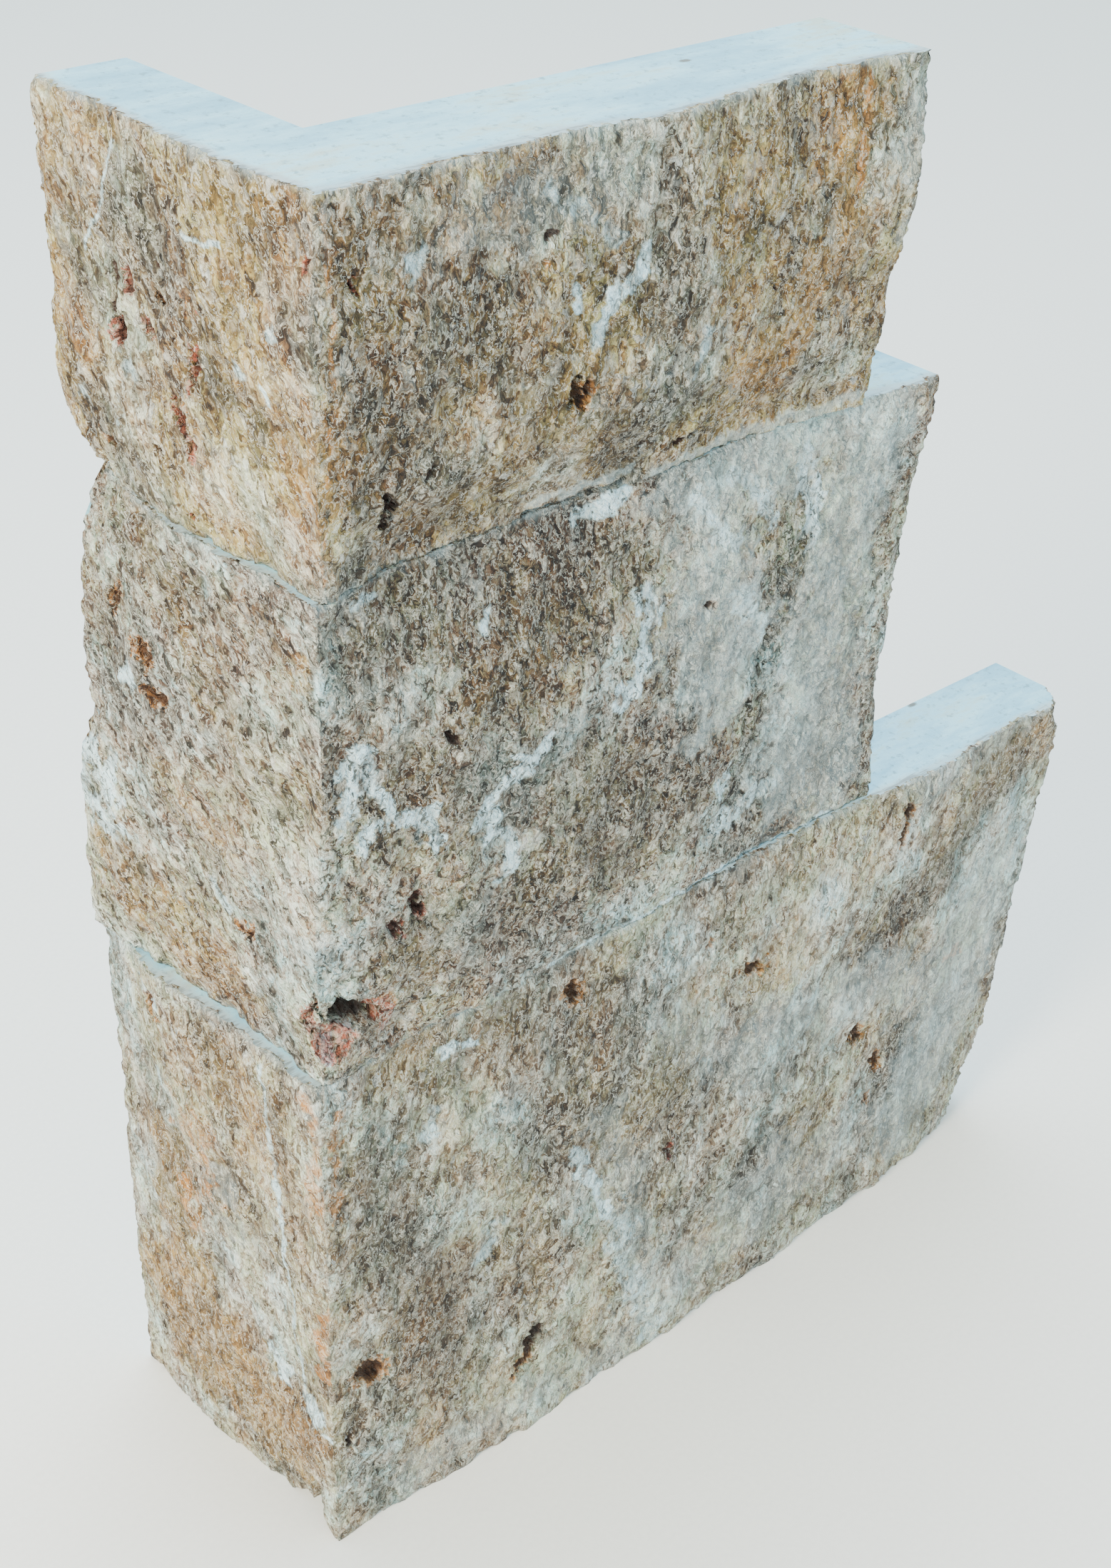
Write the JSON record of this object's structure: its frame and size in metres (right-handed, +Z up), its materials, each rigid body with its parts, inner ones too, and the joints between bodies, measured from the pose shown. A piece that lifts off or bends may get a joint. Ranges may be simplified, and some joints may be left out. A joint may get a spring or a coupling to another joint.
{
  "type": "travertine cladding corner",
  "caption": "L-shaped travertine corner unit for wall cladding, in stepped courses: split outer faces, sawn beds, backs and leg ends.",
  "frame": {"origin": "foot of the inner corner, where the two sawn backs meet the bottom bed", "axes": "+X along the long legs' backs, +Y along the short legs' backs, +Z up; the wall fills +X +Y"},
  "size_m": [0.1808, 0.0574, 0.225],
  "materials": {
    "bottom_course_travertine": "split face, sawn beds and back",
    "middle_course_travertine": "split face, sawn beds and back",
    "top_course_travertine": "split face, sawn beds and back"
  },
  "bodies": {
    "root": {"bottom_course_stone": "bottom_course_travertine", "middle_course_stone": "middle_course_travertine", "top_course_stone": "top_course_travertine"}
  },
  "joints": []
}
